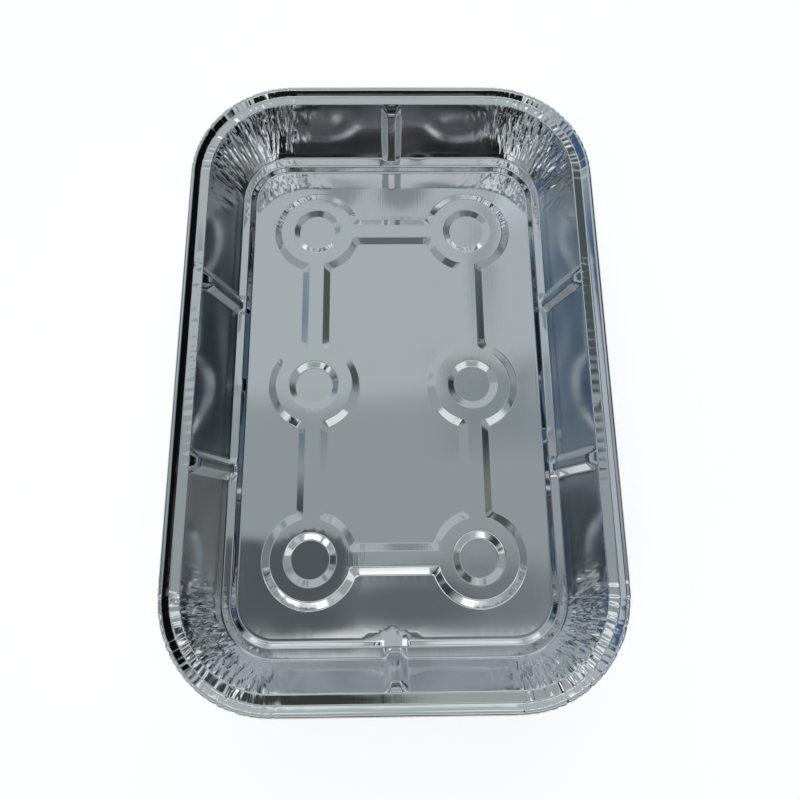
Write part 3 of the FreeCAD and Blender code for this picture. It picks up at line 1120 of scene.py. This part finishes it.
    def settle(self, draft: bpy.types.Object, foil: bpy.types.Material) -> bpy.types.Object:
        """Turns the pressed sheet into a plain mesh.

        Args:
            draft: Object with the modifiers.
            foil: Its material.

        Returns:
            The finished object.
        """
        graph = bpy.context.evaluated_depsgraph_get()
        mesh = bpy.data.meshes.new_from_object(draft.evaluated_get(graph), depsgraph=graph)
        bpy.data.objects.remove(draft)
        mesh.materials.clear()
        mesh.materials.append(foil)
        for name in (*PRESS_SHARES, PRESS_WAY):
            layer = mesh.attributes.get(name)
            if layer is not None:
                mesh.attributes.remove(layer)
        mesh.shade_smooth()
        mesh.set_sharp_from_angle(angle=math.radians(self.crease_angle))
        creased = set_out(self.name + "_creased", mesh)
        even = creased.modifiers.new("even_normals", "WEIGHTED_NORMAL")
        even.mode = "FACE_AREA"
        even.weight = self.normal_weight
        even.keep_sharp = True
        graph = bpy.context.evaluated_depsgraph_get()
        final = bpy.data.meshes.new_from_object(creased.evaluated_get(graph), depsgraph=graph)
        bpy.data.objects.remove(creased)
        final.name = self.name
        self.keep_in_box(final)
        return set_out(self.name, final)


@dataclass(frozen=True)
class Card:
    """A soft light or dark card above the tray.

    Place and half sizes are in degrees from straight overhead: x to the right, y to the far end.
    """

    name: str
    x: float
    y: float
    half_x: float
    half_y: float
    colour: str
    strength: float = 1.0
    softness: float = 0.25
    round_card: bool = False


@dataclass
class Studio:
    """Plain studio round the tray: pale floor, pale horizon and soft cards overhead."""

    base: str = "#B5BDBF"
    horizon: str = "#F4F5F5"
    floor_colour: str = "#EEEEEE"
    floor_glow: float = 0.67
    floor_mirrored: float = 0.39
    floor_half: float = 3.0
    floor_drop: float = 0.0003
    horizon_from: float = 0.02
    horizon_to: float = 0.09
    least_level: float = 0.0001
    cards: tuple[Card, ...] = (
        Card("near half", 0, 2, 60, 11.5, "#9BA4A6", 1.0, 0.14),
        Card("near overhead", 0, -24, 60, 9, "#A3AAAA", 1.0, 0.12),
        Card("overhead band", 0, -13.1, 34, 4.9, "#F0F2F2", 1.0, 0.12),
        Card("far strip left", -19, 63, 15, 8, "#FFFFFF", 1.15, 0.25),
        Card("far strip right", 19, 63, 15, 8, "#FFFFFF", 1.15, 0.25),
        Card("far right lamp", 35, 51, 7, 5, "#D2E0F0", 1.0, 0.4, True),
        Card("right dim panel", 57, 30, 20, 24, "#2F3639", 1.0, 0.25),
        Card("right flag", 68, 12, 17, 46, "#0C0D0E", 1.0, 0.3),
        Card("right panel", 28, 27, 7, 15, "#505857", 1.0, 0.45, True),
        Card("right near panel", 48, -2, 8, 9, "#787876", 1.0, 0.4),
        Card("left pale panel", -49, 28, 11, 6, "#7F96A6", 1.0, 0.3),
        Card("left blue panel", -50, 19, 10, 9, "#566E88", 1.0, 0.45),
        Card("left near panel", -49, -1, 11, 7, "#474F52", 1.0, 0.3),
        Card("left stripe", -30, 24, 2.5, 5, "#8490A0", 1.0, 0.5, True),
        Card("left blue side", -64, 16, 9, 26, "#3F5F84", 1.0, 0.3),
        Card("back flag", 0, -65, 75, 16, "#191A1B", 1.0, 0.2),
        Card("back streak", 0, -62, 40, 2.5, "#6A6A6C", 1.0, 0.6),
        Card("back lamp left", -18, -43, 13, 4.5, "#FFFFFF", 1.15, 0.3),
        Card("back lamp right", 18, -43, 13, 4.5, "#FFFFFF", 1.15, 0.3),
        Card("left lamp", -33, -28, 5.5, 4.5, "#FFFFFF", 1.4, 0.4, True),
        Card("left near lamp", -21, -34.5, 9, 3, "#FFFFFF", 1.5, 0.35, True),
        Card("near lamp", -2, -36.3, 13, 1.7, "#FFFFFF", 1.4, 0.4, True),
        Card("right near lamp", 14, -30.5, 6, 3, "#C4CCD8", 1.0, 0.5, True),
        Card("left flag", -26, -17, 3, 6, "#3C4246", 1.0, 0.4, True),
        Card("left low flag", -20, -26, 4.5, 6, "#3C4246", 1.0, 0.4, True),
        Card("near flag", -9, -26, 10, 5, "#3A3E40", 1.0, 0.4, True),
        Card("far small panel left", -4.5, 33.4, 1.7, 1.6, "#8F9898", 1.0, 0.25, True),
        Card("far small panel right", 1.3, 33.0, 2.2, 1.8, "#8A9393", 1.0, 0.25, True),
        Card("far right glow", 11.5, 33, 3, 3, "#CAD4DA", 1.0, 0.6, True),
        Card("right strip", 9, 27, 1.5, 7, "#A2ABAB", 1.0, 0.6, True),
        Card("right lower panel", 10, 13, 5, 4, "#8D9798", 1.0, 0.5),
        Card("near half dim", 9, -5, 8, 3.6, "#7A8183", 1.0, 0.6, True),
        Card("overhead left", -9.5, -3.7, 6, 4.4, "#565C5E", 1.0, 0.08),
        Card("overhead right", 1, -5.6, 6.5, 2.8, "#666C6E", 1.0, 0.4, True),
    )

    def world(self) -> None:
        """Makes the world: the cards by direction, and white behind the object for the camera."""
        world = bpy.data.worlds.new("studio")
        bpy.context.scene.world = world
        world.use_nodes = True
        tree = world.node_tree
        tree.nodes.clear()
        ray = add_node(tree, "ShaderNodeTexCoord").outputs["Generated"]
        height = add_node(tree, "ShaderNodeSeparateXYZ", {0: ray}).outputs[2]
        angle = add_node(tree, "ShaderNodeMath", {0: height}, operation="ARCCOSINE").outputs[0]
        level = add_node(tree, "ShaderNodeMath", {0: angle}, operation="SINE").outputs[0]
        level = add_node(tree, "ShaderNodeMath", {0: level, 1: self.least_level}, operation="MAXIMUM").outputs[0]
        spread = add_node(tree, "ShaderNodeMath", {0: angle, 1: level}, operation="DIVIDE").outputs[0]
        spread = add_node(tree, "ShaderNodeMath", {0: spread, 1: 180 / math.pi}, operation="MULTIPLY").outputs[0]
        flat = add_node(tree, "ShaderNodeVectorMath", {0: ray, 1: (1, 1, 0)}, operation="MULTIPLY").outputs[0]
        chart = add_node(tree, "ShaderNodeVectorMath", {0: flat, "Scale": spread}, operation="SCALE").outputs[0]
        base = add_node(tree, "ShaderNodeRGB").outputs[0]
        base.default_value = linear(self.base)
        mixed = base
        for card in self.cards:
            mixed = self.card(tree, chart, mixed, card)
        fade = {"Value": height, "From Min": self.horizon_from, "From Max": self.horizon_to}
        fade |= {"To Min": 1.0, "To Max": 0.0}
        low = add_node(tree, "ShaderNodeMapRange", fade, interpolation_type="SMOOTHSTEP").outputs[0]
        seen = add_node(tree, "ShaderNodeLightPath").outputs["Is Camera Ray"]
        for share, colour in ((low, linear(self.horizon)), (seen, (1, 1, 1, 1))):
            mixed = add_node(tree, "ShaderNodeMix", {0: share, 6: mixed, 7: colour}, data_type="RGBA").outputs[2]
        lit = add_node(tree, "ShaderNodeBackground", {"Color": mixed, "Strength": 1.0})
        add_node(tree, "ShaderNodeOutputWorld", {"Surface": lit.outputs[0]})

    def card(
        self, tree: bpy.types.NodeTree, chart: bpy.types.NodeSocket, under: bpy.types.NodeSocket, card: Card
    ) -> bpy.types.NodeSocket:
        """Lays one card over what is there already.

        Args:
            tree: The world's tree.
            chart: Direction in degrees from straight overhead.
            under: Colour so far.
            card: The card.

        Returns:
            The new colour.
        """
        links = {0: chart, 1: (card.x, card.y, 0)}
        local = add_node(tree, "ShaderNodeVectorMath", links, operation="SUBTRACT", label=card.name)
        links = {0: local.outputs[0], 1: (card.half_x, card.half_y, 1)}
        sized = add_node(tree, "ShaderNodeVectorMath", links, operation="DIVIDE").outputs[0]
        if card.round_card:
            reach = add_node(tree, "ShaderNodeVectorMath", {0: sized}, operation="LENGTH").outputs["Value"]
        else:
            whole = add_node(tree, "ShaderNodeVectorMath", {0: sized}, operation="ABSOLUTE").outputs[0]
            split = add_node(tree, "ShaderNodeSeparateXYZ", {0: whole}).outputs
            reach = add_node(tree, "ShaderNodeMath", {0: split[0], 1: split[1]}, operation="MAXIMUM").outputs[0]
        fade = {"Value": reach, "From Min": 1 - card.softness, "From Max": 1 + card.softness}
        fade |= {"To Min": 1.0, "To Max": 0.0}
        share = add_node(tree, "ShaderNodeMapRange", fade, interpolation_type="SMOOTHSTEP").outputs[0]
        tone = tuple(v * card.strength for v in linear(card.colour)[:3]) + (1.0,)
        return add_node(tree, "ShaderNodeMix", {0: share, 6: under, 7: tone}, data_type="RGBA").outputs[2]

    def floor(self) -> bpy.types.Object:
        """Makes the pale paper floor: white to the camera but for the shadow, and dimmer in the foil.

        Returns:
            The floor.
        """
        half = self.floor_half
        mesh = bpy.data.meshes.new("studio_floor")
        mesh.from_pydata([(-half, -half, 0), (half, -half, 0), (half, half, 0), (-half, half, 0)], [], [(0, 1, 2, 3)])
        mesh.transform(Matrix.Translation((0, 0, -self.floor_drop)))
        material = bpy.data.materials.new("studio_floor_paper")
        material.use_nodes = True
        tree = material.node_tree
        tree.nodes.clear()
        sees = add_node(tree, "ShaderNodeLightPath").outputs
        mirrored = {0: sees["Is Glossy Ray"], 1: self.floor_mirrored}
        shown = add_node(tree, "ShaderNodeMath", mirrored, operation="MULTIPLY")
        for ray in ("Is Camera Ray", "Is Transmission Ray"):
            shown = add_node(tree, "ShaderNodeMath", {0: shown.outputs[0], 1: sees[ray]}, operation="MAXIMUM")
        strength = add_node(tree, "ShaderNodeMath", {0: shown.outputs[0], 1: self.floor_glow}, operation="MULTIPLY")
        paper = add_node(tree, "ShaderNodeBsdfDiffuse", {"Color": linear(self.floor_colour)})
        glow = add_node(tree, "ShaderNodeEmission", {"Color": (1, 1, 1, 1), "Strength": strength.outputs[0]})
        both = add_node(tree, "ShaderNodeAddShader", {0: paper.outputs[0], 1: glow.outputs[0]})
        clear = add_node(tree, "ShaderNodeBsdfTransparent")
        below = add_node(tree, "ShaderNodeNewGeometry").outputs["Backfacing"]
        shader = add_node(tree, "ShaderNodeMixShader", {0: below, 1: both.outputs[0], 2: clear.outputs[0]})
        add_node(tree, "ShaderNodeOutputMaterial", {"Surface": shader.outputs[0]})
        mesh.materials.append(material)
        floor = set_out("studio_floor", mesh)
        return floor


@dataclass(frozen=True)
class PhotoCamera:
    """The photograph's viewpoint: above the near end of the tray, looking down."""

    place: tuple[float, float, float] = (-0.951, -87.53, 327.87)
    tilt: float = 0.235874
    roll: float = -0.013704
    turn: float = -0.007605
    focal_pixels: float = 600.98
    picture_pixels: float = 800.0
    sensor: float = 36.0
    clip_start: float = 0.01
    clip_end: float = 50.0

    def build(self) -> bpy.types.Object:
        """Makes the camera and sets it as the scene's.

        Returns:
            The camera.
        """
        data = bpy.data.cameras.new("photo_camera")
        data.sensor_width = self.sensor
        data.lens = self.focal_pixels / self.picture_pixels * self.sensor
        data.clip_start = self.clip_start
        data.clip_end = self.clip_end
        camera = set_out("photo_camera", data)
        camera.location = Vector(self.place) * MM
        turn = Euler((self.tilt, 0, 0)).to_matrix() @ Euler((0, self.roll, 0)).to_matrix()
        turn = turn @ Euler((0, 0, self.turn)).to_matrix()
        camera.rotation_euler = turn.to_euler()
        bpy.context.scene.camera = camera
        return camera


def main() -> None:
    """Builds the scene in order and reports each piece."""
    logging.basicConfig(level=logging.INFO, format="%(name)s: %(message)s")
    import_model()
    scene = bpy.context.scene
    scene.view_settings.view_transform = "Standard"
    studio = Studio()
    studio.world()
    studio.floor()
    PhotoCamera().build()
    log.info("studio, floor and camera are set")
    foil = RolledFoil().build()
    tray = TraySheet().build(foil)
    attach(tray, "root")
    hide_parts("foil_tray")
    tray.data.calc_loop_triangles()
    log.info("%s has %d triangles", tray.name, len(tray.data.loop_triangles))


if __name__ == "__main__":
    main()
